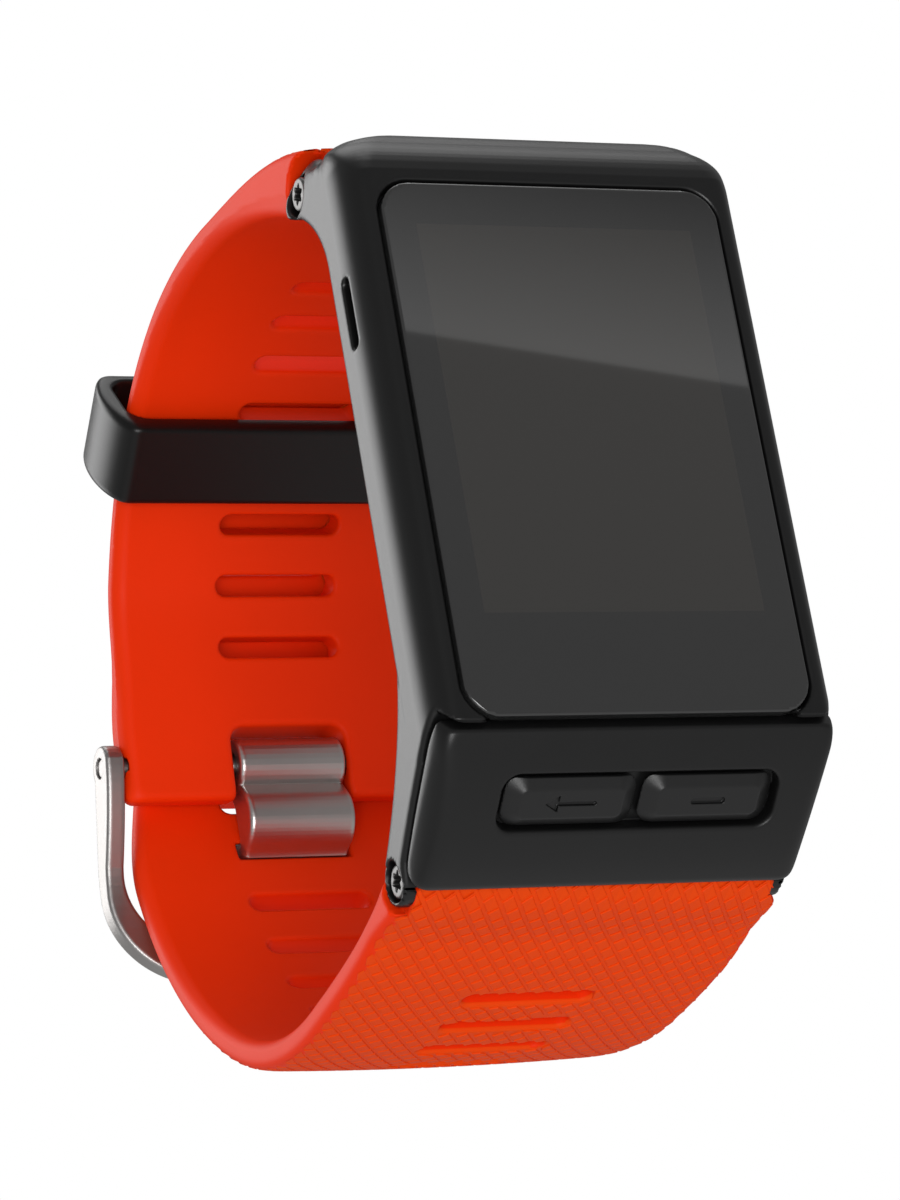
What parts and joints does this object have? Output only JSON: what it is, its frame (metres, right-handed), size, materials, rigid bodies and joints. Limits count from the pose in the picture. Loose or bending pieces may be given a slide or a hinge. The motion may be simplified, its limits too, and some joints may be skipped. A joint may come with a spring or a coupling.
{
  "type": "gps running watch",
  "caption": "Rectangular touch-screen sports watch on a slotted rubber strap, closed by a pin buckle and a sliding keeper, with sprung keys.",
  "frame": {"origin": "centre of the wrist opening, midway across the case", "axes": "+X to 3 o'clock along the wearer's forearm, +Y from the glass through the wrist to the back of the strap, +Z to 12 o'clock"},
  "size_m": [0.0306, 0.0664, 0.0623],
  "materials": {
    "satin_black": "satin moulded black",
    "matte_black": "matte moulded black",
    "gloss_black": "semi-gloss black",
    "screen_glass": "polished dark glass",
    "sensor_glass": "polished dark glass",
    "strap_rubber": "soft moulded rubber, tiled outer face",
    "satin_steel": "bead-blasted satin",
    "screw_steel": "machined",
    "gold_contact": "gold plated",
    "circuit_board": "solder mask",
    "shield_steel": "stamped",
    "silicone": "matte",
    "battery_wrap": "foil wrap",
    "ceramic": "fired ceramic",
    "led_window": "clear epoxy"
  },
  "bodies": {
    "watch": {"case_body": "satin_black", "button_panel": "satin_black", "display_panel": "matte_black", "rear_cover": "matte_black", "contact_block": "gloss_black", "display_glass": "screen_glass", "sensor_lens": "sensor_glass", "photodiode": "sensor_glass", "upper_strap": "strap_rubber", "lower_strap": "strap_rubber", "buckle_pin": "satin_steel", "upper_left_lug_screw": "screw_steel", "upper_right_lug_screw": "screw_steel", "lower_left_lug_screw": "screw_steel", "lower_right_lug_screw": "screw_steel", "rear_cover_screw_1": "screw_steel", "rear_cover_screw_2": "screw_steel", "rear_cover_screw_3": "screw_steel", "rear_cover_screw_4": "screw_steel", "upper_strap_bar": "screw_steel", "lower_strap_bar": "screw_steel", "charge_contact_1": "gold_contact", "charge_contact_2": "gold_contact", "charge_contact_3": "gold_contact", "charge_contact_4": "gold_contact", "main_board": "circuit_board", "sensor_board": "circuit_board", "key_board": "circuit_board", "mid_frame": "shield_steel", "processor_shield": "shield_steel", "radio_shield": "shield_steel", "pressure_sensor": "shield_steel", "vibration_motor": "shield_steel", "back_key_switch": "shield_steel", "select_key_switch": "shield_steel", "glass_gasket": "silicone", "back_key_seal": "silicone", "select_key_seal": "silicone", "port_membrane": "silicone", "battery": "battery_wrap", "gps_antenna": "ceramic", "sensor_led_1": "led_window", "sensor_led_2": "led_window"},
    "back_key": {"back_key": "satin_black"},
    "select_key": {"select_key": "satin_black"},
    "vibration_rotor": {"vibration_weight": "screw_steel"},
    "buckle_tang": {"buckle_tang": "satin_steel"},
    "buckle_frame": {"buckle_frame": "satin_steel"},
    "strap_keeper": {"strap_keeper": "gloss_black"}
  },
  "joints": [
    {"name": "back_key_press", "type": "slide", "parent": "watch", "child": "back_key", "axis": [0, 0.6189, 0.7855], "range_m": [0, 0.0004], "stiffness_N_per_m": 4000},
    {"name": "select_key_press", "type": "slide", "parent": "watch", "child": "select_key", "axis": [0, 0.6189, 0.7855], "range_m": [0, 0.0004], "stiffness_N_per_m": 4000},
    {"name": "vibration_spin", "type": "hinge", "parent": "watch", "child": "vibration_rotor", "pos_m": [0, -0.02535, 0.0126], "axis": [1, 0, 0], "continuous": true},
    {"name": "tang_swing", "type": "hinge", "parent": "watch", "child": "buckle_tang", "pos_m": [0, 0.0281, 0.00035], "axis": [-1, 0, 0], "range_deg": [0, 40]},
    {"name": "frame_swing", "type": "hinge", "parent": "watch", "child": "buckle_frame", "pos_m": [0, 0.0281, 0.00035], "axis": [1, 0, 0], "range_deg": [0, 60]},
    {"name": "keeper_slide", "type": "hinge", "parent": "watch", "child": "strap_keeper", "pos_m": [0, 0, 0], "axis": [1, 0, 0], "range_deg": [-5, 5]}
  ]
}
